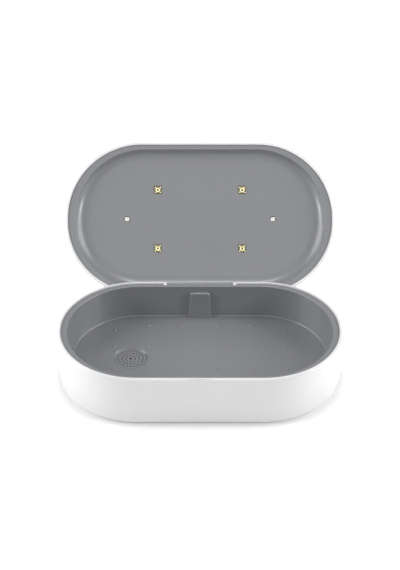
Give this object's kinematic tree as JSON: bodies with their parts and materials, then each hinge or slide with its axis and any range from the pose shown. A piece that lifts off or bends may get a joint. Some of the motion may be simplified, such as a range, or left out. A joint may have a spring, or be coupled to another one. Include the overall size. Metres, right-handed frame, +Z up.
{
  "type": "uv sanitizer box",
  "caption": "Low oval two-shell box whose hinged lid carries small ultraviolet lamps over a bumped tray for a phone.",
  "frame": {"origin": "on the table under the middle of the base, at the centre of the four feet", "axes": "+X to the right along the hinge, +Y to the rear towards the hinge and the charging port, +Z up"},
  "size_m": [0.228, 0.2285, 0.1272],
  "materials": {
    "white_shell": "satin",
    "grey_inner": "satin",
    "foot_rubber": "matte",
    "steel": "satin",
    "green_board": "satin",
    "white_board": "satin",
    "black_part": "matte",
    "capacitor_can": "satin",
    "lamp_body": "satin",
    "gilt": "satin",
    "lamp_cream": "gloss",
    "light_pipe": "gloss",
    "wire_sleeve": "matte",
    "felt": "matte"
  },
  "bodies": {
    "base": {"base_shell": "white_shell", "chamber_tray": "grey_inner", "scent_grille": "grey_inner", "scent_pad": "felt", "rubber_feet": "foot_rubber", "case_screws": "steel", "control_board": "green_board", "control_chips": "black_part", "capacitors": "capacitor_can", "buzzer": "black_part", "board_screws": "steel", "charging_socket": "steel", "socket_tongue": "black_part", "wire_plug": "white_board", "wire_lower": "wire_sleeve", "hinge_pins": "steel", "base_magnet": "steel", "lid_sensor": "black_part", "sensor_wire": "wire_sleeve"},
    "lid": {"lid_shell": "white_shell", "lid_liner": "grey_inner", "lamp_board": "white_board", "lamp_drivers": "black_part", "uvc_lamp_bodies": "lamp_body", "uvc_lamp_frames": "gilt", "uvc_lamp_chips": "black_part", "side_lamps": "lamp_cream", "lamp_board_screws": "steel", "lid_magnet": "steel", "wire_upper": "wire_sleeve", "switch_body": "black_part", "status_light": "light_pipe"},
    "button": {"power_button": "white_shell", "switch_plunger": "lamp_cream"}
  },
  "joints": [
    {"name": "lid_hinge", "type": "hinge", "parent": "base", "child": "lid", "pos_m": [0, 0.0628, 0.0373], "axis": [1, 0, 0], "range_deg": [0, 131]},
    {"name": "button_press", "type": "slide", "parent": "lid", "child": "button", "axis": [0, -0.7547, 0.6561], "range_m": [0, 0.0005], "stiffness_N_per_m": 2000, "springref_m": -0.0005}
  ]
}
